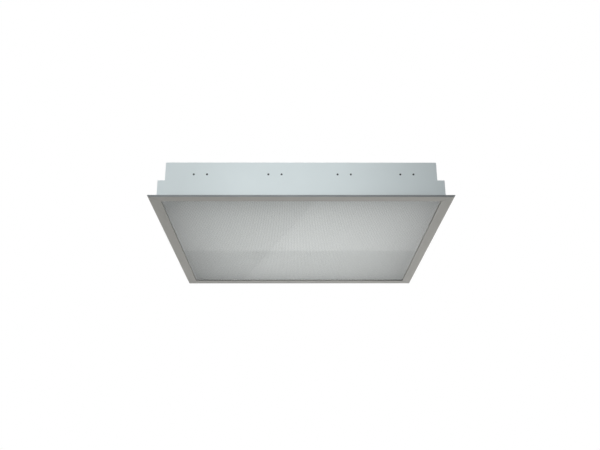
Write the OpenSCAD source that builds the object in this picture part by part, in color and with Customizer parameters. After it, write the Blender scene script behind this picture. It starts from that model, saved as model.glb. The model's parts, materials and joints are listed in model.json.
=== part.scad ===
// Recessed ceiling light for a 600 mm module: folded steel housing, four fluorescent lamps
// and a drop-down aluminium door frame that holds a prismatic diffuser.
// The origin is the centre of the hanger holes, on the top plate's outer face, with +Z up.
// The lamps run along Y. Heights named here count up from the underside of the door frame.

/* [Housing] */
// Width of the housing's lower part, across the lamps
housing_w = 561.6; // [460:0.2:680]
// Length of the housing, along the lamps
housing_l = 575; // [470:0.5:1200]
// Width of the step in each of the housing's sides
step_w = 14.1; // [11:0.1:17]
// Height of the step in the housing's sides
step_h = 38.7; // [33:0.1:45]
// Height of the top plate's outer face
total_h = 77.2; // [70:0.1:95]
// Thickness of the housing sheet
sheet_t = 0.7; // [0.5:0.1:1]
// Inner radius of the housing's folds
fold_r = 0.7; // [0.3:0.1:2]
// Width of the outward flange along the housing's bottom edges
side_flange_w = 6; // [3:0.5:7]
// Width of the stiffening beads in the top plate
bead_w = 12; // [8:0.5:16]
// Distance from the ends of the beads to the ends of the housing
bead_inset = 77.5; // [60:0.5:120]
// Depth of the stiffening beads
bead_depth = 1.5; // [1:0.1:2.5]

/* [Door frame] */
// How far the door frame overhangs the housing's sides
overhang_w = 16.7; // [13:0.1:20]
// How far the door frame overhangs the housing's ends
overhang_l = 10; // [8:0.1:12]
// Height of the frame's outer edge
edge_h = 3.4; // [3.2:0.1:5]
// How far the frame's outer edge leans outwards from bottom to top
edge_lean = 1.8; // [0:0.1:2.2]
// Thickness of the frame's flat face
plate_t = 1.4; // [1:0.1:1.6]
// Thickness of the frame's outer lip
lip_t = 1.2; // [0.8:0.1:1.6]
// Thickness of the frame's upright web
web_t = 1.2; // [1:0.1:1.5]
// Height of the top of the frame's web
web_h = 14; // [13:0.1:15]
// Width of the frame's inner ledge, which carries the diffuser
ledge_w = 3.5; // [3:0.1:5]
// Open joint between two mitred rails
mitre_gap = 0.2; // [0.1:0.05:0.4]

/* [Diffuser] */
// Thickness of the diffuser with its prisms
diffuser_t = 2.2; // [1.5:0.1:2.5]
// Height of the dark gasket under the diffuser
gasket_h = 0.6; // [0.4:0.1:2]
// Free play between the diffuser's edge and the frame's web
diffuser_play = 0.5; // [0.3:0.1:0.8]

/* [Lamps] */
// Diameter of the glass tube
tube_d = 16; // [15:0.1:16.6]
// Wall of the glass tube
tube_wall = 0.8; // [0.6:0.1:1.5]
// Length of a lamp cap
cap_l = 9; // [6:0.5:14]
// Diameter of a contact pin
pin_d = 2.37; // [2.2:0.01:2.5]
// Length of a contact pin
pin_l = 7.1; // [6:0.1:7.2]
// Distance between the two contact pins of a cap
pin_pitch = 4.75; // [4.5:0.05:5.2]

/* [Lampholders] */
// Thickness of a lampholder along the lamp
holder_t = 11.8; // [9.6:0.1:14]
// Distance between the two fixing pins of a lampholder
stud_pitch = 26; // [24:0.5:28]
// Height of the fixing pins above the lamp's axis
stud_rise = 11.5; // [11:0.1:13]
// Diameter of a fixing pin's head
stud_head_d = 4; // [3.6:0.1:5]
// Height of a fixing pin's head
stud_head_h = 1; // [0.6:0.1:1.6]
// Diameter of a lampholder's round body
holder_d = 25; // [23:0.5:26]
// Diameter of the rotor
rotor_d = 16; // [14:0.5:17]

/* [Reflector] */
// Thickness of the reflector sheet
reflector_t = 0.5; // [0.4:0.1:0.8]
// Height of the reflector's roof above the lamp's axis
roof_rise = 14; // [13:0.1:16]
// Depth of the ridges between the lamps
ridge_h = 10; // [4:0.5:14]
// Width of a ridge
ridge_w = 32; // [24:1:40]
// Width of the reflector's side wings, which lie under the housing's step
wing_w = 21; // [16:0.5:24]

/* [Control gear] */
// Length of the ballast over its feet
ballast_l = 360; // [280:5:400]
// Width of the ballast
ballast_w = 30; // [24:0.5:34]
// Height of the ballast
ballast_h = 21; // [18:0.1:22]
// Length of the terminal block
terminal_l = 34; // [26:1:40]
// Width of the terminal block
terminal_w = 20; // [16:0.5:24]
// Height of the terminal block
terminal_h = 15; // [12:0.5:18]

/* [Hinge and catches] */
// How far the door drops while it swings open
door_drop = 42; // [41:0.5:44]
// Width of a hinge strap
strap_w = 16; // [12:0.5:20]
// Thickness of a hinge strap
strap_t = 1.5; // [1.2:0.1:2]
// Diameter of a hinge pin
hinge_pin_d = 3; // [2.5:0.1:3.2]
// Thickness of the catch springs
spring_t = 0.5; // [0.4:0.1:0.7]
// Width of the catch springs
spring_w = 20; // [12:1:30]

/* [Mounting] */
// Distance from the hanger holes to the sides of the housing's upper part
hanger_inset_w = 66.7; // [50:0.1:80]
// Distance from the hanger holes to the ends of the housing
hanger_inset_l = 47.5; // [36:0.5:60]
// Diameter of the hanger holes
hanger_d = 6.5; // [4:0.1:9]
// Diameter of the mains cable's way through the grommet
cable_d = 8; // [6:0.1:10]

/* [Hidden] */
$fn = 48;

// Clearances
run_gap = 0.3;
seat_gap = 0.05;
overrun = 5;
bend_steps = 4;

// Places across the lamps, as shares of the housing's upper width
lamp_x_shares = [-0.371, -0.097, 0.158, 0.389];
bead_x_shares = [-0.44, -0.14, 0.19, 0.44];
// Places along the lamps, as shares of the housing's length
hinge_y_share = 0.26;
wing_screw_y_share = 0.36;
clip_share = 0.37;
terminal_y_share = 0.26;
earth_y_share = 0.16;
grommet_y_share = 0.38;

// Housing
upper_w = housing_w - 2 * step_w;
lamp_xs = [for (s = lamp_x_shares) s * upper_w];
seal_gap = run_gap;
wall_base = edge_h + seal_gap;
wall_in_x = housing_w / 2 - sheet_t;
upper_in_x = upper_w / 2 - sheet_t;
shell_l = housing_l - 2 * sheet_t;
plate_in_y = shell_l / 2;
top_in = total_h - sheet_t;
bead_l = housing_l - 2 * bead_inset;
bead_floor_r = bead_w / 2 - bead_depth;
hanger_x = upper_w - 2 * hanger_inset_w;
hanger_y = housing_l - 2 * hanger_inset_l;
tab_l = 12;
tab_inset = 10;

// Door frame, as distances in from its outer edge
frame_w = housing_w + 2 * overhang_w;
frame_l = housing_l + 2 * overhang_l;
lip_set = edge_lean * (1 - plate_t / edge_h) + lip_t;
web_set = overhang_w + sheet_t + spring_t + 2 * run_gap;
ledge_set = web_set + web_t + ledge_w;
flange_gap = 2;
end_flange_w = web_set - overhang_l - flange_gap;
seal_offset = 2.3;
seal_w = 5;
seal_set = web_set - seal_offset - seal_w;
key_set = lip_set + run_gap;
key_w = seal_set - run_gap - key_set;
key_l = 40;
key_t = (edge_h - plate_t) * 4 / 5;

// Faces of the left and right rails' webs, as distances from the middle
web_out = frame_w / 2 - web_set;
web_in = web_out - web_t;

// Diffuser
diffuser_set = web_set + web_t + diffuser_play;
gasket_top = plate_t + gasket_h;
diffuser_top = gasket_top + diffuser_t;
clip_t = 0.6;

// Lamps, lampholders and reflector
ballast_gap = 1;
roof_h = top_in - ballast_h - ballast_gap - reflector_t;
lamp_h = roof_h - roof_rise;
stud_h = lamp_h + stud_rise;
stud_d = 3;
cap_wall = 0.2;
cap_d = tube_d + 2 * cap_wall;
cap_play = 0.5;
lamp_l = shell_l - 2 * holder_t - 2 * cap_play;
shoulder_set = 3.8;
shoulder_t = holder_t - shoulder_set;
stud_l = shoulder_t * 3 / 4;
stud_margin = 4;
shoulder_w = stud_pitch + 2 * stud_margin;
shoulder_h = 12;
holder_top = stud_rise + shoulder_h / 2;
rotor_back = 1;
rotor_t = pin_l + rotor_back;
slot_w = pin_d + run_gap;
notch_gap = 0.6;
wing_x = wall_in_x - sheet_t - notch_gap;
slope_w = 22;

// Fasteners
rivet_d = 2.4;
rivet_head_d = 4.2;
rivet_head_h = 0.6;
clip_rivet_h = web_h - rivet_head_d;
wall_rivet_d = 3;
wall_rivet_head_d = 5.6;
wall_rivet_head_h = 0.8;
screw_d = 4;
screw_head_d = 7.5;
screw_head_h = 2.2;
tapper_d = 2.9;
tapper_head_d = 5.6;
tapper_head_h = 1.8;
tapper_l = 6;
recess_share = 0.6;
recess_slot_share = 0.16;

// Hinge, with its axis along Y
ear_t = 1.5;
ear_leaf_t = 1.2;
ear_reach = 10;
ear_leaf_l = strap_w + 2 * ear_reach;
knuckle_r = hinge_pin_d / 2 + strap_t;
knuckle_gap = 0.7;
pivot_h = diffuser_top + knuckle_gap + knuckle_r;
leaf_gap = 1.2;
pivot_x = ear_leaf_t + leaf_gap + knuckle_r - web_in;
strap_offset = 8.5;
strap_x = pivot_x + strap_offset;
hinge_y = hinge_y_share * housing_l;
guide_t = 1.2;
guide_side_w = 8;
guide_w = strap_w + 2 * guide_side_w;
guide_gap = 2.5;
guide_base = web_h + guide_gap;
guide_head_gap = 5;
guide_leaf_h = step_h - sheet_t - reflector_t - guide_head_gap - guide_base;
guide_lip = 8;
guide_reach = wall_in_x + strap_x + guide_lip;
head_side_w = 4;
head_w = strap_w + 2 * head_side_w;
head_h = 3.5;
head_base = guide_base + guide_t + door_drop + run_gap;
hinge_notch_gap = 2;
hinge_notch_w = guide_w + 2 * hinge_notch_gap;
hinge_notch_x = strap_x + guide_lip + hinge_notch_gap;

// Catch springs
spring_gap = 1;
spring_top = web_h + spring_gap;
spring_head_gap = 7.5;
spring_leaf_h = step_h - sheet_t - reflector_t - spring_head_gap - spring_top;
spring_leaf_top = spring_top + spring_leaf_h;
spring_rivet_h = spring_top + spring_leaf_h * 2 / 3;
spring_tip_gap = 2;
spring_tip_h = diffuser_top + spring_tip_gap;
spring_flare = 1.5;

// Control gear
ballast_x = (lamp_xs[1] + lamp_xs[2]) / 2;
ballast_foot_l = 10;
ballast_foot_t = 0.8;
ballast_chamfer = 2;
supply_x = (lamp_xs[0] + lamp_xs[1]) / 2;
terminal_y = terminal_y_share * housing_l;
earth_y = earth_y_share * housing_l;
grommet_y = grommet_y_share * housing_l;
grommet_rim = 3;
grommet_flange_t = 1.5;
grommet_wall = 4;
grommet_hole_d = cable_d + 2 * grommet_wall;
gear_screw_l = 6;
earth_tag_d = 10;
earth_tag_t = 0.8;
nut_w = 7;
nut_h = 3.2;

// Wiring
loom_d = 3.6;
drop_d = 2.4;
loom_depth = 10;
loom_h = top_in - loom_depth;
loom_y = plate_in_y - shoulder_t / 2;
lead_spacing = 7;
supply_bend_gap = 25;
supply_bend_y = ballast_l / 2 + supply_bend_gap;

// Directions and offsets of a bent strip's outline
function along(a, b) = (b - a) / norm(b - a);
function left_of(d) = [-d[1], d[0]];
function turned(v, angle) = [v[0] * cos(angle) - v[1] * sin(angle), v[0] * sin(angle) + v[1] * cos(angle)];
function reversed(list) = [for (i = [len(list) - 1:-1:0]) list[i]];

// One fold at b of a sheet that lies to the right of the path a, b, c
function fold(a, b, c, inner_r, t) = let (
    d1 = along(a, b),
    d2 = along(b, c),
    side = sign(cross(d1, d2)),
    turn = acos(d1 * d2),
    r = side < 0 ? inner_r + t : inner_r,
    centre = b - d1 * r * tan(turn / 2) + side * r * left_of(d1)
) [for (k = [0:bend_steps]) centre + turned(-side * r * left_of(d1), side * turn * k / bend_steps)];

function folded(path, inner_r, t) = [
    path[0],
    for (i = [1:len(path) - 2]) each fold(path[i - 1], path[i], path[i + 1], inner_r, t),
    path[len(path) - 1]
];

// The path's other face, a sheet thickness to its right
function other_face(path, t) = [for (i = [0:len(path) - 1]) let (
    d1 = i == 0 ? along(path[0], path[1]) : along(path[i - 1], path[i]),
    d2 = i == len(path) - 1 ? d1 : along(path[i], path[i + 1])
) path[i] - t * (left_of(d1) + left_of(d2)) / (1 + d1 * d2)];

module strip(path, t) {
    polygon(concat(path, reversed(other_face(path, t))));
}

// Moves children from heights above the frame's underside to the origin on the top plate
module hung() {
    translate([0, 0, -total_h]) children();
}

// Extrudes a profile drawn in X and height along Y, centred
module extrude_y(l) {
    rotate([90, 0, 0]) linear_extrude(height = l, center = true) children();
}

// A cylinder along +Y from its start
module rod_y(d, l) {
    rotate([-90, 0, 0]) cylinder(d = d, h = l);
}

// A cylinder along +X from its start
module rod_x(d, l) {
    rotate([0, 90, 0]) cylinder(d = d, h = l);
}

// Places children on both sides of the middle along Y
module both_ends(y) {
    for (s = [-1, 1]) translate([0, s * y, 0]) children();
}

// A rivet along +X: outer head, shank through the given stack, inner head
module rivet_x(d, head_d, head_h, stack) {
    translate([-head_h, 0, 0]) rod_x(head_d, head_h);
    rod_x(d, stack);
    translate([stack, 0, 0]) rod_x(head_d, head_h);
}

// A cross recess, centred on the face of a screw's head
module cross_recess(head_d, depth) {
    for (a = [0, 90]) rotate([0, 0, a])
        cube([recess_share * head_d, recess_slot_share * head_d, 2 * depth], center = true);
}

// Housing
wall_path = [
    [-housing_w / 2, wall_base],
    [-housing_w / 2, step_h],
    [-upper_w / 2, step_h],
    [-upper_w / 2, total_h],
    [upper_w / 2, total_h],
    [upper_w / 2, step_h],
    [housing_w / 2, step_h],
    [housing_w / 2, wall_base]
];
shell_path = concat(
    [[-housing_w / 2 - side_flange_w, wall_base + sheet_t], [-housing_w / 2, wall_base + sheet_t]],
    [for (i = [1:len(wall_path) - 2]) wall_path[i]],
    [[housing_w / 2, wall_base + sheet_t], [housing_w / 2 + side_flange_w, wall_base + sheet_t]]
);

// A long trough with sloping sides and round ends, from the half width of its floor
module bead(floor_r, h) {
    extrude_y(bead_l - bead_w) polygon([
        [-floor_r, 0], [floor_r, 0], [floor_r + h, h], [-floor_r - h, h]
    ]);
    both_ends((bead_l - bead_w) / 2) cylinder(r1 = floor_r, r2 = floor_r + h, h = h);
}

module at_beads() {
    for (s = bead_x_shares) translate([s * upper_w, 0, 0]) children();
}

module at_hangers() {
    for (x = [-1, 1], y = [-1, 1]) translate([x * hanger_x / 2, y * hanger_y / 2, 0]) children();
}

module at_gear_screws() {
    translate([ballast_x, 0, 0]) both_ends((ballast_l - ballast_foot_l) / 2) children();
    translate([supply_x, terminal_y, 0]) children();
    translate([supply_x, earth_y, 0]) children();
}

module at_wing_screws() {
    for (x = [-1, 1]) translate([x * (wing_x + upper_in_x) / 2, 0, 0])
        both_ends(wing_screw_y_share * housing_l) children();
}

module at_guide_rivets() {
    translate([-wall_in_x - sheet_t, 0, guide_base + guide_leaf_h / 2])
        both_ends(hinge_y) both_ends(guide_w / 4) children();
}

module at_catch_rivets() {
    translate([wall_in_x - spring_t, 0, spring_rivet_h]) both_ends(hinge_y) children();
}

module housing_shell() {
    color([0.86, 0.89, 0.89]) hung() difference() {
        union() {
            extrude_y(shell_l) strip(folded(shell_path, fold_r, sheet_t), sheet_t);
            at_beads() translate([0, 0, top_in - bead_depth])
                bead(bead_floor_r + sheet_t * (sqrt(2) - 1), bead_depth + sheet_t);
        }
        at_beads() translate([0, 0, total_h - bead_depth])
            bead(bead_floor_r, bead_depth + overrun);
        at_hangers() translate([0, 0, top_in - overrun]) cylinder(d = hanger_d, h = 2 * overrun);
        at_gear_screws() translate([0, 0, top_in - overrun])
            cylinder(d = screw_d + 2 * seat_gap, h = 2 * overrun);
        translate([supply_x, grommet_y, top_in - overrun])
            cylinder(d = grommet_hole_d, h = 2 * overrun);
        at_wing_screws() translate([0, 0, step_h - sheet_t - overrun])
            cylinder(d = tapper_d + 2 * seat_gap, h = 2 * overrun);
        at_guide_rivets() rod_x(wall_rivet_d + 2 * seat_gap, sheet_t);
        at_catch_rivets() rod_x(wall_rivet_d + 2 * seat_gap, sheet_t + spring_t);
    }
}

module at_studs() {
    for (x = lamp_xs, s = [-1, 1]) translate([x + s * stud_pitch / 2, 0, stud_h]) children();
}

// The near end plate, with its outer face at the near end
module end_plate() {
    top_tab_w = upper_w - 2 * sheet_t - 2 * tab_inset;
    upper_tab_h = top_in - step_h - 2 * tab_inset;
    lower_tab_h = step_h - sheet_t - wall_base - sheet_t - tab_inset;
    translate([0, -housing_l / 2, 0]) difference() {
        union() {
            rotate([90, 0, 0]) translate([0, 0, -sheet_t]) linear_extrude(height = sheet_t)
                polygon(folded(wall_path, fold_r, sheet_t));
            translate([-top_tab_w / 2, 0, top_in - sheet_t]) cube([top_tab_w, tab_l, sheet_t]);
            for (m = [0, 1]) mirror([m, 0, 0]) {
                translate([upper_in_x - sheet_t, 0, step_h + tab_inset])
                    cube([sheet_t, tab_l, upper_tab_h]);
                translate([wall_in_x - sheet_t, 0, wall_base + sheet_t + tab_inset / 2])
                    cube([sheet_t, tab_l, lower_tab_h]);
            }
            translate([-wall_in_x + tab_inset / 2, 0, wall_base])
                cube([2 * wall_in_x - tab_inset, end_flange_w, sheet_t]);
        }
        at_studs() translate([0, -overrun, 0])
            rod_y(stud_d + 2 * seat_gap, sheet_t + 2 * overrun);
    }
}

module end_plate_near() {
    color([0.86, 0.89, 0.89]) hung() end_plate();
}

module end_plate_far() {
    color([0.84, 0.87, 0.87]) hung() mirror([0, 1, 0]) end_plate();
}

// Reflector
reflector_path = concat(
    [[-wing_x, step_h - sheet_t], [wing_w - wing_x, step_h - sheet_t],
        [wing_w + slope_w - wing_x, roof_h + reflector_t]],
    [for (i = [0:len(lamp_xs) - 2]) let (x = (lamp_xs[i] + lamp_xs[i + 1]) / 2)
        each [[x - ridge_w / 2, roof_h + reflector_t], [x, roof_h + reflector_t - ridge_h],
            [x + ridge_w / 2, roof_h + reflector_t]]],
    [[wing_x - wing_w - slope_w, roof_h + reflector_t], [wing_x - wing_w, step_h - sheet_t],
        [wing_x, step_h - sheet_t]]
);

module reflector() {
    color([0.93, 0.94, 0.93]) hung() difference() {
        extrude_y(shell_l - 2 * run_gap) strip(reflector_path, reflector_t);
        for (x = lamp_xs) translate([x, 0, 0]) both_ends(plate_in_y)
            translate([-shoulder_w / 2 - notch_gap, -holder_t - notch_gap, lamp_h])
                cube([shoulder_w + 2 * notch_gap, 2 * (holder_t + notch_gap), top_in - lamp_h]);
        both_ends(hinge_y) translate([-housing_w / 2, -hinge_notch_w / 2, 0])
            cube([hinge_notch_x + housing_w / 2, hinge_notch_w, total_h]);
        at_wing_screws() translate([0, 0, step_h - sheet_t - overrun])
            cylinder(d = tapper_d + 2 * seat_gap, h = 2 * overrun);
    }
}

module reflector_screws() {
    color("silver") hung() at_wing_screws() translate([0, 0, step_h - sheet_t - reflector_t]) {
        translate([0, 0, -tapper_head_h]) difference() {
            cylinder(d = tapper_head_d, h = tapper_head_h);
            cross_recess(tapper_head_d, tapper_head_h / 2);
        }
        cylinder(d = tapper_d, h = tapper_l);
    }
}

// Control gear
module ballast() {
    body_l = ballast_l - 2 * ballast_foot_l;
    color([0.75, 0.76, 0.78]) hung() translate([ballast_x, 0, top_in]) difference() {
        union() {
            extrude_y(body_l) polygon([
                [-ballast_w / 2, 0], [ballast_w / 2, 0],
                [ballast_w / 2, ballast_chamfer - ballast_h],
                [ballast_w / 2 - ballast_chamfer, -ballast_h],
                [ballast_chamfer - ballast_w / 2, -ballast_h],
                [-ballast_w / 2, ballast_chamfer - ballast_h]
            ]);
            translate([-ballast_w / 2, -ballast_l / 2, -ballast_foot_t])
                cube([ballast_w, ballast_l, ballast_foot_t]);
        }
        both_ends((ballast_l - ballast_foot_l) / 2) translate([0, 0, -overrun])
            cylinder(d = screw_d + 2 * seat_gap, h = 2 * overrun);
    }
}

module terminal_block() {
    port_d = 3;
    port_depth = 6;
    port_pitch = terminal_w / 3;
    color([0.93, 0.92, 0.86]) hung() translate([supply_x, terminal_y, top_in - terminal_h])
        difference() {
            translate([-terminal_w / 2, -terminal_l / 2, 0])
                cube([terminal_w, terminal_l, terminal_h]);
            for (i = [-1:1], m = [0, 1]) mirror([0, m, 0])
                translate([i * port_pitch, -terminal_l / 2 - overrun, terminal_h / 3])
                    rod_y(port_d, port_depth + overrun);
            for (i = [-1:1], m = [0, 1]) mirror([0, m, 0])
                translate([i * port_pitch, -terminal_l / 3, -overrun])
                    cylinder(d = port_d, h = port_depth / 2 + overrun);
            translate([0, 0, terminal_h - gear_screw_l])
                cylinder(d = screw_d + 2 * seat_gap, h = gear_screw_l + overrun);
        }
}

module gear_screws() {
    color("silver") hung() at_gear_screws() translate([0, 0, total_h]) {
        difference() {
            cylinder(d = screw_head_d, h = screw_head_h);
            translate([0, 0, screw_head_h]) cross_recess(screw_head_d, screw_head_h / 2);
        }
        translate([0, 0, -gear_screw_l]) cylinder(d = screw_d, h = gear_screw_l);
    }
}

module earth_tag() {
    tongue_w = 5;
    tongue_l = 14;
    color("goldenrod") hung() translate([supply_x, earth_y, top_in - earth_tag_t])
        difference() {
            union() {
                cylinder(d = earth_tag_d, h = earth_tag_t);
                translate([-tongue_w / 2, 0, 0]) cube([tongue_w, tongue_l, earth_tag_t]);
            }
            translate([0, 0, -overrun]) cylinder(d = screw_d + 2 * seat_gap, h = 2 * overrun);
        }
}

module earth_nut() {
    color("silver") hung() translate([supply_x, earth_y, top_in - earth_tag_t - nut_h])
        difference() {
            cylinder(d = nut_w / cos(30), h = nut_h, $fn = 6);
            translate([0, 0, -overrun])
                cylinder(d = screw_d + 2 * seat_gap, h = nut_h + 2 * overrun);
        }
}

module cable_grommet() {
    flange_r = grommet_hole_d / 2 + grommet_rim;
    neck_r = grommet_hole_d / 2 - seat_gap;
    top = total_h + grommet_flange_t;
    color([0.12, 0.12, 0.12]) hung() translate([supply_x, grommet_y, 0]) rotate_extrude()
        polygon([
            [cable_d / 2, top_in - grommet_flange_t], [flange_r, top_in - grommet_flange_t],
            [flange_r, top_in], [neck_r, top_in], [neck_r, total_h], [flange_r, total_h],
            [neck_r, top], [cable_d / 2, top]
        ]);
}

// Wiring: a trunk across the lampholders, a drop to each, and a branch to the ballast
module loom(branch_x) {
    first = lamp_xs[0];
    last = lamp_xs[len(lamp_xs) - 1];
    branch_l = loom_y - ballast_l / 2 + ballast_foot_l;
    translate([first - loom_d, -loom_y, loom_h]) rod_x(loom_d, last - first + 2 * loom_d);
    for (x = lamp_xs) translate([x, -loom_y, lamp_h + holder_top])
        cylinder(d = drop_d, h = loom_h - lamp_h - holder_top);
    translate([branch_x, -loom_y, loom_h]) rod_y(drop_d, branch_l);
}

module wiring_near() {
    color([0.9, 0.9, 0.88]) hung() loom(ballast_x);
}

module wiring_far() {
    color([0.9, 0.9, 0.88]) hung() mirror([0, 1, 0]) loom(ballast_x + lead_spacing);
}

module wiring_supply() {
    block_end = terminal_y + terminal_l / 2;
    ballast_end = ballast_l / 2 - ballast_foot_l;
    lead_x = ballast_x - lead_spacing;
    lead_h = top_in - terminal_h * 2 / 3;
    color([0.9, 0.9, 0.88]) hung() {
        translate([supply_x - loom_d, supply_bend_y, lead_h])
            rod_x(loom_d, lead_x - supply_x + 2 * loom_d);
        translate([supply_x, block_end, lead_h]) rod_y(drop_d, supply_bend_y - block_end);
        translate([lead_x, ballast_end, lead_h]) rod_y(drop_d, supply_bend_y - ballast_end);
    }
}

// Lampholders, with the lamp's axis at the origin and the back at y = 0
module lampholder() {
    difference() {
        union() {
            rod_y(holder_d, holder_t);
            translate([-shoulder_w / 2, 0, holder_top - shoulder_h])
                cube([shoulder_w, shoulder_t, shoulder_h]);
            translate([-holder_d / 2, 0, 0]) cube([holder_d, shoulder_t, holder_top]);
        }
        translate([0, holder_t - rotor_t - run_gap, 0])
            rod_y(rotor_d + 2 * run_gap, rotor_t + run_gap + overrun);
        translate([-slot_w / 2, holder_t - rotor_t, -holder_d])
            cube([slot_w, rotor_t + overrun, holder_d]);
        for (s = [-1, 1]) translate([s * stud_pitch / 2, -overrun, stud_rise])
            rod_y(stud_d + 2 * seat_gap, stud_l + overrun);
    }
}

module lampholders() {
    for (x = lamp_xs) translate([x, -plate_in_y, lamp_h]) lampholder();
}

module lampholders_near() {
    color([0.95, 0.95, 0.93]) hung() lampholders();
}

module lampholders_far() {
    color([0.95, 0.95, 0.93]) hung() mirror([0, 1, 0]) lampholders();
}

module lampholder_pins() {
    at_studs() translate([0, -housing_l / 2, 0]) {
        translate([0, -stud_head_h, 0]) rod_y(stud_head_d, stud_head_h);
        rod_y(stud_d, stud_l);
    }
}

module lampholder_pins_near() {
    color([0.3, 0.31, 0.32]) hung() lampholder_pins();
}

module lampholder_pins_far() {
    color([0.3, 0.31, 0.32]) hung() mirror([0, 1, 0]) lampholder_pins();
}

// Lamps
module at_lamp(i) {
    hung() translate([lamp_xs[i - 1], 0, lamp_h]) children();
}

module both_caps() {
    for (m = [0, 1]) mirror([0, m, 0]) translate([0, -lamp_l / 2, 0]) children();
}

module lamp_tube(i) {
    tube_l = lamp_l - 2 * cap_l;
    color([0.97, 0.97, 0.96]) at_lamp(i) translate([0, -tube_l / 2, 0]) difference() {
        rod_y(tube_d, tube_l);
        translate([0, -overrun, 0]) rod_y(tube_d - 2 * tube_wall, tube_l + 2 * overrun);
    }
}

module lamp_caps(i) {
    rim = 1;
    color([0.75, 0.76, 0.77]) at_lamp(i) both_caps() rotate([-90, 0, 0]) rotate_extrude()
        polygon([
            [0, 0], [cap_d / 2 - rim, 0], [cap_d / 2, rim], [cap_d / 2, cap_l], [0, cap_l]
        ]);
}

module lamp_pins(i) {
    color("gold") at_lamp(i) both_caps() for (s = [-1, 1])
        translate([s * pin_pitch / 2, -pin_l, 0]) rod_y(pin_d, pin_l);
}

module rotors(i) {
    color([0.9, 0.9, 0.88]) at_lamp(i) both_caps()
        translate([0, -cap_play - rotor_t, 0]) difference() {
            rod_y(rotor_d, rotor_t);
            translate([-rotor_d, rotor_t - pin_l - seat_gap + cap_play, -slot_w / 2])
                cube([2 * rotor_d, pin_l + overrun, slot_w]);
        }
}

// Hinge: straps that slide down through their guides, with the door's pivot at their lower end
module hinge_guides() {
    leaf_x = -wall_in_x;
    color("silver") hung() both_ends(hinge_y) difference() {
        union() {
            translate([leaf_x, -guide_w / 2, guide_base]) cube([guide_t, guide_w, guide_leaf_h]);
            translate([leaf_x, -guide_w / 2, guide_base]) cube([guide_reach, guide_w, guide_t]);
        }
        translate([strap_x - strap_t / 2 - run_gap, -strap_w / 2 - run_gap, guide_base - overrun])
            cube([strap_t + 2 * run_gap, strap_w + 2 * run_gap, 2 * overrun]);
        both_ends(guide_w / 4) translate([leaf_x - overrun, 0, guide_base + guide_leaf_h / 2])
            rod_x(wall_rivet_d + 2 * seat_gap, 2 * overrun);
    }
}

module guide_rivets() {
    color("gray") hung() at_guide_rivets()
        rivet_x(wall_rivet_d, wall_rivet_head_d, wall_rivet_head_h, sheet_t + guide_t);
}

module hinge_straps() {
    bar_l = head_base + head_h - pivot_h + strap_t / 2;
    color("silver") hung() both_ends(hinge_y) {
        extrude_y(strap_w) difference() {
            union() {
                translate([pivot_x, pivot_h]) circle(r = knuckle_r);
                translate([pivot_x, pivot_h - strap_t / 2])
                    square([strap_x - pivot_x + strap_t / 2, strap_t]);
                translate([strap_x - strap_t / 2, pivot_h - strap_t / 2]) square([strap_t, bar_l]);
            }
            translate([pivot_x, pivot_h]) circle(d = hinge_pin_d + 2 * seat_gap);
        }
        translate([strap_x - strap_t / 2, -head_w / 2, head_base])
            cube([strap_t, head_w, head_h]);
    }
}

module hinge_pins() {
    pin_half = strap_w / 2 + run_gap + ear_t;
    color("silver") hung() both_ends(hinge_y) translate([pivot_x, 0, pivot_h]) {
        translate([0, -pin_half, 0]) rod_y(hinge_pin_d, 2 * pin_half);
        both_ends(pin_half + ear_t / 4)
            translate([0, -ear_t / 4, 0]) rod_y(hinge_pin_d + ear_t, ear_t / 2);
    }
}

module at_ear_rivets() {
    translate([-web_out, 0, pivot_h]) both_ends(hinge_y) both_ends(ear_leaf_l / 2 - rivet_d)
        children();
}

module hinge_ears() {
    ear_y = strap_w / 2 + run_gap;
    leaf_h = 2 * knuckle_r;
    color("silver") hung() difference() {
        both_ends(hinge_y) {
            translate([-web_in, -ear_leaf_l / 2, pivot_h - leaf_h / 2])
                cube([ear_leaf_t, ear_leaf_l, leaf_h]);
            both_ends(ear_y + ear_t / 2) extrude_y(ear_t) difference() {
                union() {
                    translate([pivot_x, pivot_h]) circle(r = knuckle_r);
                    translate([-web_in, pivot_h - leaf_h / 2]) square([pivot_x + web_in, leaf_h]);
                }
                translate([pivot_x, pivot_h]) circle(d = hinge_pin_d + seat_gap);
            }
        }
        at_ear_rivets() rod_x(rivet_d + 2 * seat_gap, web_t + ear_leaf_t);
    }
}

// Catches: spring clips on the housing that grip the right rail's web
module catch_springs() {
    outer = wall_in_x;
    inner = web_in - run_gap - spring_t;
    color("lightsteelblue") hung() difference() {
        both_ends(hinge_y) extrude_y(spring_w) {
            translate([outer - spring_t, spring_tip_h])
                square([spring_t, spring_leaf_top - spring_tip_h]);
            translate([inner, spring_top]) square([outer - inner, spring_t]);
            translate([inner, spring_tip_h + spring_flare])
                square([spring_t, spring_top - spring_tip_h - spring_flare]);
            polygon([
                [inner, spring_tip_h + spring_flare],
                [inner + spring_t, spring_tip_h + spring_flare],
                [inner + spring_t - spring_flare, spring_tip_h],
                [inner - spring_flare, spring_tip_h]
            ]);
        }
        at_catch_rivets() rod_x(wall_rivet_d + 2 * seat_gap, sheet_t + spring_t);
    }
}

module catch_rivets() {
    color("gray") hung() at_catch_rivets()
        rivet_x(wall_rivet_d, wall_rivet_head_d, wall_rivet_head_h, sheet_t + spring_t);
}

// Door frame: one extruded section, mitred at its corners, drawn inwards from its outer edge
rail_profile = [
    [-ledge_set, 0], [-edge_lean, 0], [0, edge_h], [-lip_t, edge_h],
    [-lip_set, plate_t], [-web_set, plate_t], [-web_set, web_h], [-web_set - web_t, web_h],
    [-web_set - web_t, plate_t], [-ledge_set, plate_t]
];

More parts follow.
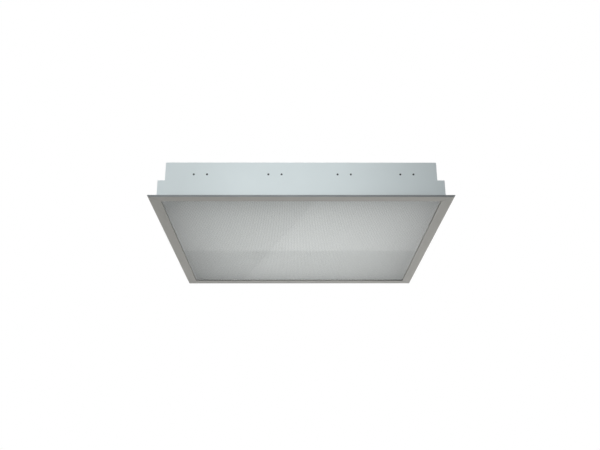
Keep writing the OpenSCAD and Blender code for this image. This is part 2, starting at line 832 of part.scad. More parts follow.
// A rail on the -Y side, of a frame of this width and length
module rail(w, l) {
    depth = 2 * ledge_set;
    joint = mitre_gap / sqrt(2);
    intersection() {
        translate([0, -l / 2, 0]) rotate([0, 0, -90])
            extrude_y(w + 2 * overrun) polygon(rail_profile);
        translate([0, -joint, -overrun]) linear_extrude(height = web_h + 2 * overrun)
            polygon([
                [-w / 2 - overrun, -l / 2 - overrun], [w / 2 + overrun, -l / 2 - overrun],
                [w / 2 - depth, -l / 2 + depth], [depth - w / 2, -l / 2 + depth]
            ]);
    }
}

// The inner faces of the webs, beside each end of every rail
module at_clips() {
    for (a = [0, 180]) {
        rotate([0, 0, a]) both_ends(clip_share * frame_l)
            translate([web_in, 0, diffuser_top]) children();
        rotate([0, 0, a + 90]) both_ends(clip_share * frame_w)
            translate([frame_l / 2 - web_set - web_t, 0, diffuser_top]) children();
    }
}

module rivet_holes() {
    hole_l = 2 * overrun;
    at_clips() translate([-overrun, 0, clip_rivet_h - diffuser_top])
        rod_x(rivet_d + 2 * seat_gap, hole_l);
    at_ear_rivets() translate([-overrun, 0, 0]) rod_x(rivet_d + 2 * seat_gap, hole_l);
}

module frame_rail(side) {
    w = side % 2 == 0 ? frame_w : frame_l;
    l = side % 2 == 0 ? frame_l : frame_w;
    color([0.64, 0.64, 0.62]) hung() difference() {
        rotate([0, 0, 90 * side]) rail(w, l);
        rivet_holes();
    }
}

// The frame's four corners, each seen as the near left one
module at_corners() {
    for (x = [0, 1], y = [0, 1]) mirror([x, 0, 0]) mirror([0, y, 0])
        translate([-frame_w / 2, -frame_l / 2, 0]) children();
}

module at_key_screws() {
    mid = key_set + key_w / 2;
    far = key_set + key_l * 3 / 4;
    translate([mid, far, 0]) children();
    translate([far, mid, 0]) children();
}

module corner_keys() {
    color("silver") hung() at_corners() difference() {
        translate([key_set, key_set, plate_t]) cube([key_l, key_l, key_t]);
        translate([key_set + key_w, key_set + key_w, -overrun]) cube([key_l, key_l, 3 * overrun]);
        at_key_screws() cylinder(d = rivet_d + 2 * seat_gap, h = plate_t + key_t + overrun);
    }
}

module corner_screws() {
    color("gray") hung() at_corners() at_key_screws() translate([0, 0, plate_t]) {
        cylinder(d = rivet_d, h = key_t);
        translate([0, 0, key_t]) cylinder(d = rivet_head_d, h = rivet_head_h / 2);
    }
}

// A flat ring between two distances in from the frame's outer edge
module ring(outer_set, inner_set, base, h) {
    translate([0, 0, base]) difference() {
        translate([outer_set - frame_w / 2, outer_set - frame_l / 2, 0])
            cube([frame_w - 2 * outer_set, frame_l - 2 * outer_set, h]);
        translate([inner_set - frame_w / 2, inner_set - frame_l / 2, -overrun])
            cube([frame_w - 2 * inner_set, frame_l - 2 * inner_set, h + 2 * overrun]);
    }
}

module frame_seal() {
    color([0.2, 0.2, 0.2]) hung()
        ring(seal_set, seal_set + seal_w, plate_t, edge_h - plate_t);
}

// Diffuser
module diffuser() {
    color([0.88, 0.9, 0.9]) hung()
        translate([diffuser_set - frame_w / 2, diffuser_set - frame_l / 2, gasket_top])
            cube([frame_w - 2 * diffuser_set, frame_l - 2 * diffuser_set, diffuser_t]);
}

module diffuser_gasket() {
    inset = 0.4;
    color([0.2, 0.21, 0.21]) hung()
        ring(web_set + web_t + seat_gap, ledge_set - inset, plate_t, gasket_h);
}

module diffuser_clips() {
    clip_w = 12;
    foot_l = 8;
    leaf_h = web_h - diffuser_top - rivet_head_h;
    color("silver") hung() difference() {
        at_clips() translate([0, -clip_w / 2, 0]) {
            translate([-clip_t, 0, 0]) cube([clip_t, clip_w, leaf_h]);
            translate([-foot_l, 0, 0]) cube([foot_l, clip_w, clip_t]);
        }
        rivet_holes();
    }
}

module frame_rivets() {
    color("gray") hung() {
        at_clips() translate([-clip_t, 0, clip_rivet_h - diffuser_top])
            rivet_x(rivet_d, rivet_head_d, rivet_head_h / 2, web_t + clip_t);
        at_ear_rivets() rivet_x(rivet_d, rivet_head_d, rivet_head_h / 2, web_t + ear_leaf_t);
    }
}

housing_shell();
end_plate_near();
end_plate_far();
reflector();
reflector_screws();
ballast();
terminal_block();
gear_screws();
earth_tag();
earth_nut();
cable_grommet();
wiring_near();
wiring_far();
wiring_supply();
lampholders_near();
lampholders_far();
lampholder_pins_near();
lampholder_pins_far();
for (i = [1:len(lamp_x_shares)]) {
    lamp_tube(i);
    lamp_caps(i);
    lamp_pins(i);
    rotors(i);
}
hinge_guides();
guide_rivets();
hinge_straps();
hinge_pins();
hinge_ears();
catch_springs();
catch_rivets();
frame_rail(0);  // frame_rail_near
frame_rail(1);  // frame_rail_right
frame_rail(2);  // frame_rail_far
frame_rail(3);  // frame_rail_left
corner_keys();
corner_screws();
frame_rivets();
frame_seal();
diffuser();
diffuser_gasket();
diffuser_clips();
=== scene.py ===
import json
from math import cos, pi, radians, sin

import bmesh
import bpy
from mathutils import Matrix, Vector


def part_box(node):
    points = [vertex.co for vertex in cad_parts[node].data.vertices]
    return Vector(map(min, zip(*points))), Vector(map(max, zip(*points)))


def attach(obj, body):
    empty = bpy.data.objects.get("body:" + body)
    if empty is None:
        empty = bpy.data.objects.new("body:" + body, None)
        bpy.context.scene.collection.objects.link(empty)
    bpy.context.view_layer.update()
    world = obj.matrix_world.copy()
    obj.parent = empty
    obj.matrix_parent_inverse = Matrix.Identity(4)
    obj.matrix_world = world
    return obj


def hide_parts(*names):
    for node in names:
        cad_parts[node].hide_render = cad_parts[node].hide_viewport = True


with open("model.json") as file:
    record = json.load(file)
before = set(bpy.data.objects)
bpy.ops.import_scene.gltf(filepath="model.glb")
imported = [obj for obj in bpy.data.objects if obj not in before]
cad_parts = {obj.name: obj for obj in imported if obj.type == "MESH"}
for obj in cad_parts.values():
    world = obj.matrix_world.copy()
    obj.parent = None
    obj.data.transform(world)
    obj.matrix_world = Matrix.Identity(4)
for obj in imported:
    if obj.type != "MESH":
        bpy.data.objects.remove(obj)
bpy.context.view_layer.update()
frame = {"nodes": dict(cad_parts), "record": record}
nodes = frame["nodes"]
mm = 0.001
weld = 0.001 * mm
lamp_numbers = range(1, 5)

# From the frame: each node's slot and body, and the places used below
slot_of = {part["node"]: part["material_slot"] for part in frame["record"]["subparts"]}
body_of = {node: body for body, held in frame["record"]["behaviour"]["bodies"].items() for node in held}
rail_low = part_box("frame_rail_near")[0]
underside = rail_low.z
frame_half = -rail_low.y
sheet_low, sheet_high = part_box("diffuser")
sheet_rim = sheet_high.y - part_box("frame_rail_far")[0].y
plate_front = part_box("end_plate_near")[0].y
tube_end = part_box("lamp_tube_1")[1].y


def new_object(name, data):
    """A new object in the scene."""
    obj = bpy.data.objects.new(name, data)
    bpy.context.scene.collection.objects.link(obj)
    return obj


# Camera, placed from the underside of the door frame's centre
camera_from_frame = Vector((-13.7, -1572.8, -546.3)) * mm
yaw, pitch, roll = radians(0.485), radians(20.926), radians(-0.173)
forward = Vector((sin(yaw) * cos(pitch), cos(yaw) * cos(pitch), sin(pitch)))
level = Vector((cos(yaw), -sin(yaw), 0))
upward = level.cross(forward)
right = level * cos(roll) + upward * sin(roll)
up = upward * cos(roll) - level * sin(roll)
camera_turn = Matrix((right, up, -forward)).transposed().to_4x4()
camera_data = bpy.data.cameras.new("camera")
camera_data.sensor_width = 36
camera_data.lens = 43.22
camera_data.clip_end = 50
camera = new_object("camera", camera_data)
camera.matrix_world = Matrix.Translation(camera_from_frame + Vector((0, 0, underside))) @ camera_turn
bpy.context.scene.camera = camera
bpy.context.scene.view_settings.view_transform = "Standard"


def srgb(r, g, b):
    """Linear colour of an 8-bit one."""
    return tuple((c / 12.92 if c <= 0.04045 else ((c + 0.055) / 1.055) ** 2.4)
                 for c in (r / 255, g / 255, b / 255)) + (1,)


# Values that several surfaces share
noise_low, noise_high = 0.3, 0.7
patch_scale = 9
sheen_scale = 60
sheen_spread = 0.04
grain_depth = 0.4 * mm
streak_depth = 0.2 * mm
streak_gloss, streak_dull = 0.07, 0.09
rounded_edge = 0.3 * mm


class Shading:
    """The nodes of a material or of the world, with short ways to add and link them."""

    def __init__(self, owner, output):
        self.owner = owner
        self.owner.use_nodes = True
        self.tree = owner.node_tree
        self.tree.nodes.clear()
        self.out = self.add(output)

    def add(self, kind, inputs=None, **settings):
        node = self.tree.nodes.new(kind)
        for key, value in settings.items():
            setattr(node, key, value)
        for key, value in (inputs or {}).items():
            if isinstance(value, bpy.types.NodeSocket):
                self.tree.links.new(value, node.inputs[key])
            else:
                node.inputs[key].default_value = value
        return node

    def place(self, kind="Object"):
        """A texture coordinate, in the object's own axes unless another kind is asked for."""
        return self.add("ShaderNodeTexCoord").outputs[kind]

    def parts(self, vector):
        """The X, Y and Z of a vector."""
        return self.add("ShaderNodeSeparateXYZ", {0: vector}).outputs

    def math(self, kind, a, b=0.0):
        return self.add("ShaderNodeMath", {0: a, 1: b}, operation=kind).outputs[0]

    def span(self, value, low, high, to_low=0.0, to_high=1.0):
        """A value moved smoothly from one range to another."""
        return self.add("ShaderNodeMapRange", {
            "Value": value, 1: low, 2: high, 3: to_low, 4: to_high,
        }, interpolation_type="SMOOTHSTEP").outputs[0]

    def blend(self, share, first, second, **settings):
        """Colour between two others."""
        return self.add("ShaderNodeMix", {0: share, 6: first, 7: second},
                        data_type="RGBA", **settings).outputs[2]

    def tint(self, colour, by):
        """Colour multiplied by another."""
        return self.blend(1, colour, by, blend_type="MULTIPLY")

    def noise(self, scale, detail, stretch=(1, 1, 1), roughness=0.5):
        at = self.add("ShaderNodeMapping", {"Vector": self.place(), "Scale": stretch})
        return self.add("ShaderNodeTexNoise", {
            "Vector": at.outputs[0], "Scale": scale, "Detail": detail, "Roughness": roughness,
        }).outputs["Fac"]

    def ramp(self, share, *stops):
        node = self.add("ShaderNodeValToRGB", {"Fac": share})
        elements = node.color_ramp.elements
        while len(elements) < len(stops):
            elements.new(1)
        for element, (at, colour) in zip(elements, stops):
            element.position = at
            element.color = colour
        return node.outputs["Color"]

    def patches(self, light, dark):
        """Slow change between two close colours."""
        return self.ramp(self.noise(patch_scale, 4), (noise_low, dark), (noise_high, light))

    def uneven(self, scale, detail, low, high):
        """A value that changes in patches between two others."""
        return self.span(self.noise(scale, detail), noise_low, noise_high, low, high)

    def bump(self, height, strength, distance):
        rounded = self.add("ShaderNodeBevel", {"Radius": rounded_edge}, samples=4).outputs[0]
        return self.add("ShaderNodeBump", {
            "Height": height, "Strength": strength, "Distance": distance, "Normal": rounded,
        }).outputs[0]

    def mixed(self, share, first, second):
        """Shader between two others."""
        return self.add("ShaderNodeMixShader", {0: share, 1: first.outputs[0], 2: second.outputs[0]})

    def finish(self, shader):
        self.tree.links.new(shader.outputs[0], self.out.inputs["Surface"])
        return self.owner


def paint(name):
    """The nodes of a new material."""
    return Shading(bpy.data.materials.new(name), "ShaderNodeOutputMaterial")


def coated(name, light, dark, roughness, grain, bump):
    """Painted or moulded surface: slow colour change, fine grain and a rough patchy sheen."""
    p = paint(name)
    sheen = p.uneven(sheen_scale, 3, roughness - sheen_spread / 2, roughness + sheen_spread / 2)
    return p.finish(p.add("ShaderNodeBsdfPrincipled", {
        "Base Color": p.patches(light, dark), "Roughness": sheen,
        "Normal": p.bump(p.noise(grain, 2), bump, grain_depth),
    }))


def drawn(name, light, dark, roughness, stretch, scale, metallic=1.0, bump=0.15, painted_light_and_shade=None):
    """Rolled, drawn or extruded metal with streaks along the stretched axis, and painted light and shade
    where a function for them is given.
    """
    p = paint(name)
    streaks = p.noise(scale, 4, stretch, 0.65)
    colour = p.ramp(streaks, (noise_low, dark), (noise_high, light))
    if painted_light_and_shade:
        colour = painted_light_and_shade(p, colour)
    sheen = p.span(streaks, 0.25, 0.75, roughness - streak_gloss, roughness + streak_dull)
    return p.finish(p.add("ShaderNodeBsdfPrincipled", {
        "Base Color": colour, "Metallic": metallic, "Roughness": sheen,
        "Normal": p.bump(streaks, bump, streak_depth),
    }))


# Painted light on the rails' inner upright faces, painted shade on their outer upright faces, and painted
# shade along each mitre seam
inner_face_painted_light = (1.7, 1.7, 1.7, 1)
outer_face_painted_shade = (0.64, 0.75, 0.91, 1)
outer_band = 5 * mm
seam_half = 0.2 * mm
seam_painted_shade = (0.5, 0.5, 0.5, 1)


def rail_painted_light_and_shade(p, colour):
    """Painted light on the inner upright faces and painted shade on the outer upright faces of the square
    frame, and a thin line of painted shade along each mitre.
    """
    parts = p.parts(p.place())
    along, across = (p.math("ABSOLUTE", parts[axis]) for axis in "XY")
    outer = p.math("GREATER_THAN", p.math("MAXIMUM", along, across), frame_half - outer_band)
    # Painted light on the inner upright faces, painted shade on the outer ones
    upright = p.tint(colour, p.blend(outer, inner_face_painted_light, outer_face_painted_shade))
    flat = p.math("ABSOLUTE", p.parts(p.place("Normal"))["Z"])
    colour = p.blend(flat, upright, colour)
    # Painted shade along each mitre seam
    seam = p.math("LESS_THAN", p.math("ABSOLUTE", p.math("SUBTRACT", along, across)), seam_half)
    return p.blend(seam, colour, p.tint(colour, seam_painted_shade))


end_shade = 22 * mm


def tube_glass():
    """Glass coated inside with white powder, a little darker near the caps."""
    p = paint("coated_lamp_glass")
    from_end = p.math("SUBTRACT", tube_end, p.math("ABSOLUTE", p.parts(p.place())["Y"]))
    colour = p.ramp(p.span(from_end, 0, end_shade), (0, srgb(222, 220, 212)), (0.6, srgb(243, 243, 240)))
    return p.finish(p.add("ShaderNodeBsdfPrincipled", {
        "Base Color": colour, "Roughness": p.uneven(40, 3, 0.12, 0.2),
        "Coat Weight": 0.6, "Coat Roughness": 0.05,
    }))


acrylic_index = 1.49


def clear_face():
    """Smooth lower face of the clear sheet: it mirrors at a slant and otherwise lets light through."""
    p = paint("clear_acrylic_face")
    slant = p.add("ShaderNodeFresnel", {"IOR": acrylic_index}).outputs[0]
    clear = p.add("ShaderNodeBsdfTransparent", {"Color": (0.97, 0.98, 0.975, 1)})
    gloss = p.add("ShaderNodeBsdfGlossy", {"Color": (1, 1, 1, 1), "Roughness": p.uneven(25, 2, 0.008, 0.016)})
    return p.finish(p.mixed(slant, clear, gloss))


prism_white = srgb(242, 243, 242.5)
# Painted light and shade on the prisms' facets, by the way each one faces
facet_painted_shade_x = 0.7
facet_painted_shade_y = 0.78
rim_blend = 4 * mm
glow_share = 0.15
clear_share = 0.05
gloss_share = 0.05


def painted_edge_shade(p, place, half, depth, reach, rim_share):
    """Painted shade: tone that falls off towards two opposite edges, with a share of that fall over the
    frame's lip; a share below zero paints light over the lip instead.
    """
    from_edge = p.math("SUBTRACT", half, p.math("ABSOLUTE", place))
    fall = p.math("MULTIPLY", p.math("EXPONENT", p.math("DIVIDE", from_edge, -reach)), depth)
    share = p.span(from_edge, sheet_rim, sheet_rim + rim_blend, rim_share, 1)
    return p.math("SUBTRACT", 1, p.math("MULTIPLY", fall, share))


def prism_face():
    """Prisms: they scatter what is behind them, so they look milky. Painted shade darkens them towards the
    frame, painted light brightens them over the near and far lips, and painted light and shade on each facet
    follow the way it faces.
    """
    p = paint("prism_face")
    parts = p.parts(p.place())
    # Painted shade towards the frame all round, and painted light over the near and far lips
    painted_shade = p.math("MULTIPLY",
                  painted_edge_shade(p, parts["X"], sheet_high.x, depth=0.49, reach=68 * mm, rim_share=0.6),
                  painted_edge_shade(p, parts["Y"], sheet_high.y, depth=0.36, reach=50 * mm, rim_share=-0.8))
    # Painted light and shade on each facet by the way it faces
    facing = p.parts(p.place("Normal"))
    facet_painted_shade = p.math("ADD", p.math("MULTIPLY", facing["Y"], facet_painted_shade_y),
                   p.math("MULTIPLY", facing["X"], facet_painted_shade_x))
    tone = p.math("MULTIPLY", painted_shade, p.math("ADD", 1, facet_painted_shade))
    colour = p.blend(tone, (0, 0, 0, 1), prism_white, clamp_factor=False)
    milk = p.add("ShaderNodeBsdfDiffuse", {"Color": colour})
    glow = p.add("ShaderNodeBsdfTranslucent", {"Color": colour})
    clear = p.add("ShaderNodeBsdfTransparent", {"Color": (0.95, 0.96, 0.96, 1)})
    gloss = p.add("ShaderNodeBsdfGlossy", {"Color": (1, 1, 1, 1), "Roughness": 0.18})
    sheer = p.mixed(clear_share, p.mixed(glow_share, milk, glow), clear)
    return p.finish(p.mixed(gloss_share, sheer, gloss))


# The finish of each material slot
finishes = {
    "white_paint": coated("white_powder_paint", srgb(232, 237, 238), srgb(228, 233, 234),
                          roughness=0.42, grain=1400, bump=0.12),
    "reflector_paint": coated("white_reflector_paint", srgb(240, 242, 240), srgb(235, 238, 236),
                              roughness=0.3, grain=1800, bump=0.08),
    "ballast_case": coated("pale_ballast_case", srgb(214, 217, 220), srgb(206, 209, 213),
                           roughness=0.38, grain=1500, bump=0.12),
    "holder_plastic": coated("white_moulded_plastic", srgb(236, 236, 230), srgb(230, 230, 224),
                             roughness=0.38, grain=900, bump=0.06),
    "terminal_plastic": coated("cream_moulded_plastic", srgb(232, 226, 205), srgb(225, 219, 197),
                               roughness=0.4, grain=900, bump=0.06),
    "wire_sleeve": coated("wire_sleeve", srgb(232, 231, 224), srgb(224, 223, 215),
                          roughness=0.45, grain=700, bump=0.1),
    "gasket_rubber": coated("grey_gasket_rubber", srgb(172, 173, 172), srgb(162, 163, 162),
                            roughness=0.7, grain=1200, bump=0.3),
    "seal_foam": coated("dark_seal_foam", srgb(58, 58, 58), srgb(40, 40, 40),
                        roughness=0.95, grain=2600, bump=0.9),
    "zinc_steel": drawn("zinc_plated_steel", srgb(194, 196, 200), srgb(180, 182, 187),
                        roughness=0.34, stretch=(1, 1, 1), scale=140, bump=0.05),
    "spring_steel": drawn("bright_spring_steel", srgb(180, 185, 190), srgb(168, 173, 179),
                          roughness=0.28, stretch=(1, 4, 4), scale=110, bump=0.04),
    "fixing_steel": drawn("dark_fixing_steel", srgb(74, 75, 77), srgb(62, 63, 65),
                          roughness=0.45, stretch=(1, 1, 1), scale=120, metallic=0.8),
    "pin_brass": drawn("pin_brass", srgb(214, 190, 128), srgb(198, 172, 108),
                       roughness=0.24, stretch=(1, 1, 1), scale=90),
    "lamp_cap": drawn("lamp_cap_aluminium", srgb(206, 208, 210), srgb(190, 192, 195),
                      roughness=0.3, stretch=(1, 12, 1), scale=50),
    "lamp_glass": tube_glass(),
}

# Finishes of single nodes: the rails' draw lines run along each rail
rotor_plastic = coated("rotor_plastic", srgb(226, 226, 220), srgb(219, 219, 212),
                       roughness=0.42, grain=900, bump=0.06)
grommet_rubber = coated("black_grommet_rubber", srgb(40, 40, 41), srgb(30, 30, 31),
                        roughness=0.55, grain=900, bump=0.15)
# The rails' finish also carries painted light and shade on their upright faces and along the mitres
aluminium_x, aluminium_y = (
    drawn("satin_aluminium_" + axis, srgb(162, 159, 154), srgb(154, 151, 146),
          roughness=0.42, stretch=stretch, scale=14, metallic=0.65, bump=0.05, painted_light_and_shade=rail_painted_light_and_shade)
    for axis, stretch in (("x", (1, 60, 60)), ("y", (60, 1, 60))))
finish_of = {
    "frame_rail_near": aluminium_x, "frame_rail_far": aluminium_x,
    "frame_rail_left": aluminium_y, "frame_rail_right": aluminium_y,
    "cable_grommet": grommet_rubber,
}
for n in lamp_numbers:
    finish_of[f"rotors_{n}"] = rotor_plastic


def give(obj, *materials):
    """The object's materials, in place of those it has."""
    obj.data.materials.clear()
    for material in materials:
        obj.data.materials.append(material)


for name, obj in nodes.items():
    finish = finish_of.get(name) or finishes.get(slot_of[name])
    if finish:
        give(obj, finish)


def stand_for(obj, node):
    """The object takes a CAD node's place, on the same body."""
    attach(obj, body_of[node])
    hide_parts(node)


def closed_up(mesh, sharp_angle, flat_angle=None):
    """Joins doubled points and, where asked, flat faces, and shades the mesh smooth between sharp edges."""
    bm = bmesh.new()
    bm.from_mesh(mesh)
    bmesh.ops.remove_doubles(bm, verts=bm.verts, dist=weld)
    if flat_angle:
        bmesh.ops.dissolve_limit(bm, angle_limit=flat_angle, verts=bm.verts, edges=bm.edges)
    bmesh.ops.recalc_face_normals(bm, faces=bm.faces)
    bm.to_mesh(mesh)
    bm.free()
    mesh.shade_smooth()
    mesh.set_sharp_from_angle(angle=sharp_angle)


# Turned pieces: rivets, pins and screws with domed heads, and lamp caps with rolled edges
turn_steps = 32
dome_steps = 6
dome_power = 0.7
same_radius = 0.01 * mm


def solids(node):
    """Points of each separate solid of a CAD node."""
    bm = bmesh.new()
    bm.from_mesh(nodes[node].data)
    bmesh.ops.remove_doubles(bm, verts=bm.verts, dist=weld)
    left, groups = set(bm.verts), []
    while left:
        group, queue = [], [left.pop()]
        while queue:
            vert = queue.pop()
            group.append(vert.co.copy())
            for edge in vert.link_edges:
                other = edge.other_vert(vert)
                if other in left:
                    left.remove(other)
                    queue.append(other)
        groups.append(group)
    bm.free()
    return groups


def turned_levels(points):
    """Centre and axis of a turned solid, and its (along, radius) levels, the widest end first."""
    low, high = ([pick(p[k] for p in points) for k in range(3)] for pick in (min, max))
    size = [high[k] - low[k] for k in range(3)]
    axis = min(range(3), key=lambda k: abs(size[k - 1] - size[k - 2]))
    centre = Vector([(low[k] + high[k]) / 2 for k in range(3)])
    reach = {}
    for p in points:
        along = round(p[axis], 6)
        out = (p[axis - 1] - centre[axis - 1]) ** 2 + (p[axis - 2] - centre[axis - 2]) ** 2
        reach[along] = max(reach.get(along, 0), out)
    levels = [(along, reach[along] ** 0.5) for along in sorted(reach)]
    if levels[-1][1] > levels[0][1] + same_radius:
        levels.reverse()
    return centre, axis, levels


def turned(name, node, outlines):
    """One object made of turned outlines, which stands for a CAD node."""
    verts, faces = [], []
    for centre, axis, outline in outlines:
        base = len(verts)
        for along, radius in outline:
            for k in range(turn_steps):
                at = centre.copy()
                at[axis] = along
                at[axis - 2] += radius * cos(2 * pi * k / turn_steps)
                at[axis - 1] += radius * sin(2 * pi * k / turn_steps)
                verts.append(at)
        for ring in range(len(outline) - 1):
            start = base + ring * turn_steps
            for k in range(turn_steps):
                a, b = start + k, start + (k + 1) % turn_steps
                faces.append((a, b, b + turn_steps, a + turn_steps))
    mesh = bpy.data.meshes.new(name)
    mesh.from_pydata(verts, [], faces)
    closed_up(mesh, sharp_angle=radians(35))
    obj = new_object(name, mesh)
    give(obj, nodes[node].data.materials[0])
    stand_for(obj, node)


def dome(tip, seat, radius):
    """A flattened dome from its tip down to its seat."""
    turns = [pi / 2 * k / dome_steps for k in range(dome_steps + 1)]
    return [(seat + (tip - seat) * cos(turn) ** dome_power, radius * sin(turn)) for turn in turns]


def domed(node):
    """Domed heads on a node's rivets, pins or screws, at each end that has a head."""
    outlines = []
    for points in solids(node):
        centre, axis, levels = turned_levels(points)
        (tip, head_r), (seat, _) = levels[:2]
        (last_seat, _), (end, end_r) = levels[-2:]
        if abs(end_r - head_r) < same_radius:
            shank_r = 0.5 * head_r
            rest = [(seat, shank_r), (last_seat, shank_r)] + dome(end, last_seat, end_r)[::-1]
        else:
            rest = [(seat, end_r), (end, end_r), (end, 0)]
        outlines.append((centre, axis, dome(tip, seat, head_r) + rest))
    turned(node + "_domed", node, outlines)


disc_depth = 0.4 * mm
disc_radius_share = 0.6
rim_radius_share = 0.64
rim_round = ((0, 1 * mm), (0.15 * mm, 0.5 * mm), (0.5 * mm, 0.12 * mm), (1.1 * mm, 0))
groove_places = (0.3, 0.62)
groove_depth = 0.25 * mm
groove_half = 0.5 * mm
groove_floor_half = 0.2 * mm
lip_length = 0.5 * mm


def rolled_caps(node):
    """Lamp caps: an insulating disc in the end, a rolled rim, two crimped grooves and a thin lip."""
    outlines = []
    for points in solids(node):
        centre, axis, levels = turned_levels(points)
        outer, inner = sorted((levels[0][0], levels[-1][0]), key=abs, reverse=True)
        radius = max(r for _, r in levels)
        length = abs(inner - outer)
        profile = [(disc_depth, radius), (disc_depth, (1 - disc_radius_share) * radius),
                   (0, (1 - rim_radius_share) * radius)]
        profile += rim_round
        for place in groove_places:
            middle = place * length
            profile += [(middle - groove_half, 0), (middle - groove_floor_half, groove_depth),
                        (middle + groove_floor_half, groove_depth), (middle + groove_half, 0)]
        profile += [(length - lip_length, 0), (length, groove_depth), (length, radius)]
        way = 1 if inner > outer else -1
        outlines.append((centre, axis, [(outer + way * depth, radius - inset) for depth, inset in profile]))
    turned(node + "_rolled", node, outlines)


def softened(node, radius):
    """A small piece with its sharp corners and edges rounded."""
    mesh = nodes[node].data.copy()
    mesh.name = node + "_softened"
    sharp_angle = radians(30)
    closed_up(mesh, sharp_angle, flat_angle=radians(0.5))
    obj = new_object(mesh.name, mesh)
    bevel = obj.modifiers.new("rounding", "BEVEL")
    bevel.width = radius
    bevel.segments = 2
    bevel.limit_method = "ANGLE"
    bevel.angle_limit = sharp_angle
    bevel.harden_normals = True
    stand_for(obj, node)


# Which nodes are turned with domed heads, and which keep their shape with rounded edges
for node in ("lampholder_pins_near", "lampholder_pins_far", "guide_rivets", "catch_rivets",
             "frame_rivets", "corner_screws", "hinge_pins"):
    domed(node)
for n in lamp_numbers:
    rolled_caps(f"lamp_caps_{n}")
    softened(f"rotors_{n}", 0.25 * mm)
for node in ("lampholders_near", "lampholders_far", "terminal_block", "ballast"):
    softened(node, 0.5 * mm)
for node in ("hinge_guides", "hinge_straps", "hinge_ears", "catch_springs", "diffuser_clips", "corner_keys",
             "reflector_screws", "gear_screws", "earth_tag", "earth_nut"):
    softened(node, 0.15 * mm)


# Diffuser: a clear sheet, smooth below, with square prisms set cornerwise above, two cells from peak to peak
prism_cell = 3.46 * mm
prism_depth = 0.7 * mm


def prism_sheet():
    """Peaks and valleys alternate over a grid, and the prisms' faces run between them."""
    low, high = sheet_low, sheet_high
    cells_x, cells_y = (round((high[k] - low[k]) / prism_cell) for k in range(2))
    row = cells_x + 1
    verts, faces = [], []
    for j in range(cells_y + 1):
        for i in range(row):
            verts.append((low.x + (high.x - low.x) * i / cells_x,
                          low.y + (high.y - low.y) * j / cells_y,
                          high.z if (i + j) % 2 else high.z - prism_depth))
    for j in range(cells_y):
        for i in range(cells_x):
            a, d = j * row + i, (j + 1) * row + i
            b, c = a + 1, d + 1
            faces += [(a, b, d), (b, c, d)] if (i + j) % 2 else [(a, b, c), (a, c, d)]
    near_side = list(range(row))
    right_side = [j * row + cells_x for j in range(1, cells_y + 1)]
    far_side = [cells_y * row + i for i in range(cells_x - 1, -1, -1)]
    left_side = [j * row for j in range(cells_y - 1, 0, -1)]
    rim = near_side + right_side + far_side + left_side
    base, count = len(verts), len(rim)
    verts += [(verts[k][0], verts[k][1], low.z) for k in rim]
    for k in range(count):
        n = (k + 1) % count
        faces.append((rim[n], rim[k], base + k, base + n))
    smooth_face = len(faces)
    faces.append(tuple(base + k for k in range(count - 1, -1, -1)))
    mesh = bpy.data.meshes.new("diffuser_prisms")
    mesh.from_pydata(verts, [], faces)
    mesh.validate()
    obj = new_object("diffuser_prisms", mesh)
    give(obj, prism_face(), clear_face())
    mesh.polygons[smooth_face].material_index = 1
    stand_for(obj, "diffuser")


prism_sheet()


# Stage, in metres: a floor in two tones, a lighter mat on it with a slanting edge, and a white background
floor_z = underside - 1.5
floor_near = -5
floor_step = 4.42
floor_far = 9
floor_half = 6
floor_lift = 0.7
mat_near = 2.2
mat_at = Vector((0.13, 3.338))
mat_slope = -0.311 / 0.95


def mat_x(y):
    """Where the mat's left edge is."""
    return mat_at.x + (y - mat_at.y) * mat_slope


def stage_paint(name, tone):
    """Matt floor paint, lifted towards white where the camera sees it directly."""
    p = paint(name)
    colour = p.patches(srgb(tone + 2, tone + 2, tone + 1), srgb(tone - 2, tone - 2, tone - 3))
    matt = p.add("ShaderNodeBsdfPrincipled", {"Base Color": colour, "Roughness": 0.8})
    pale = p.add("ShaderNodeEmission", {"Color": (1, 1, 1, 1), "Strength": 1})
    seen = p.add("ShaderNodeLightPath").outputs["Is Camera Ray"]
    return p.finish(p.mixed(p.math("MULTIPLY", seen, floor_lift), matt, pale))


def area(name, tone, near, far, left_near, left_far, height):
    """A level area of the stage up to the floor's right side, with a left edge that may slant."""
    mesh = bpy.data.meshes.new(name)
    corners = [(left_near, near, height), (floor_half, near, height),
               (floor_half, far, height), (left_far, far, height)]
    mesh.from_pydata(corners, [], [(0, 1, 2, 3)])
    obj = new_object(name, mesh)
    give(obj, stage_paint("pale_" + name, tone))


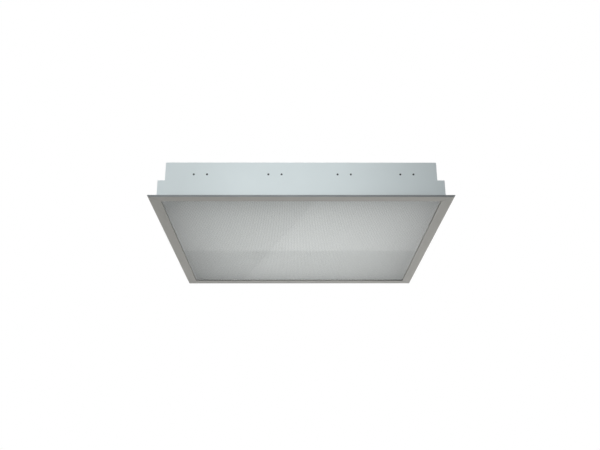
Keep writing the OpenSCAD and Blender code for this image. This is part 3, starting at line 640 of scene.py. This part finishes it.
for part, near, far, floor_tone, mat_tone in (("near", floor_near, floor_step, 211, 234),
                                              ("far", floor_step, floor_far, 184, 205)):
    area("floor_" + part, floor_tone, near, far, -floor_half, -floor_half, floor_z)
    start = max(near, mat_near)
    area("mat_" + part, mat_tone, start, far, mat_x(start), mat_x(far), floor_z + mm)


near_strength = 0.237
far_strength = 0.59


def white_world():
    """White where the camera or a reflection sees it, and a pale room that lights the object gently."""
    w = Shading(bpy.data.worlds.new("world"), "ShaderNodeOutputWorld")
    look = w.parts(w.place("Generated"))
    strength = w.span(look["Y"], -0.5, 0.8, near_strength, far_strength)
    room = w.add("ShaderNodeBackground", {0: srgb(244, 252, 254), 1: strength})
    white = w.add("ShaderNodeBackground", {0: (1, 1, 1, 1)})
    ray = w.add("ShaderNodeLightPath").outputs
    seen = w.math("MAXIMUM", ray["Is Camera Ray"], ray["Is Glossy Ray"])
    return w.finish(w.mixed(seen, room, white))


bpy.context.scene.world = white_world()


def light(kind, name, at, target, power, colour=(1, 1, 1), **settings):
    """A lamp that points at a target."""
    data = bpy.data.lights.new(name, kind)
    data.energy = power
    data.color = colour
    for key, value in settings.items():
        setattr(data, key, value)
    obj = new_object(name, data)
    obj.location = at
    obj.rotation_euler = (Vector(target) - Vector(at)).to_track_quat("-Z", "Y").to_euler()
    return obj


# Two lamps before the near end plate, a wide one and a narrow one
front_distance = 2
front_z, aim_z = -0.05, -0.04
for name, x, power, cone in (("front_light", -0.138, 68, 33.6), ("middle_light", -0.027, 18, 13.7)):
    light("SPOT", name, (x, plate_front - front_distance, front_z), (x, plate_front, aim_z),
          power=power, colour=(0.94, 1, 1.01),
          spot_size=radians(cone), spot_blend=1, shadow_soft_size=0.12)

# A large lamp over the far floor, which the open door's clear face doesn't mirror
far_floor_y = 4.2
floor_light = light("AREA", "floor_light", (0, far_floor_y, 1.6), (0, far_floor_y, floor_z),
                    power=190, shape="RECTANGLE", size=4, size_y=3)
floor_light.visible_glossy = False

# A soft lamp below, for the diffuser and the undersides of the rails
under_x = 0.05
light("SPOT", "under_light", (under_x, 0, floor_z + 0.1), (under_x, 0, 0),
      power=24, colour=(1, 0.99, 0.985),
      spot_size=radians(52), spot_blend=1, shadow_soft_size=0.25)
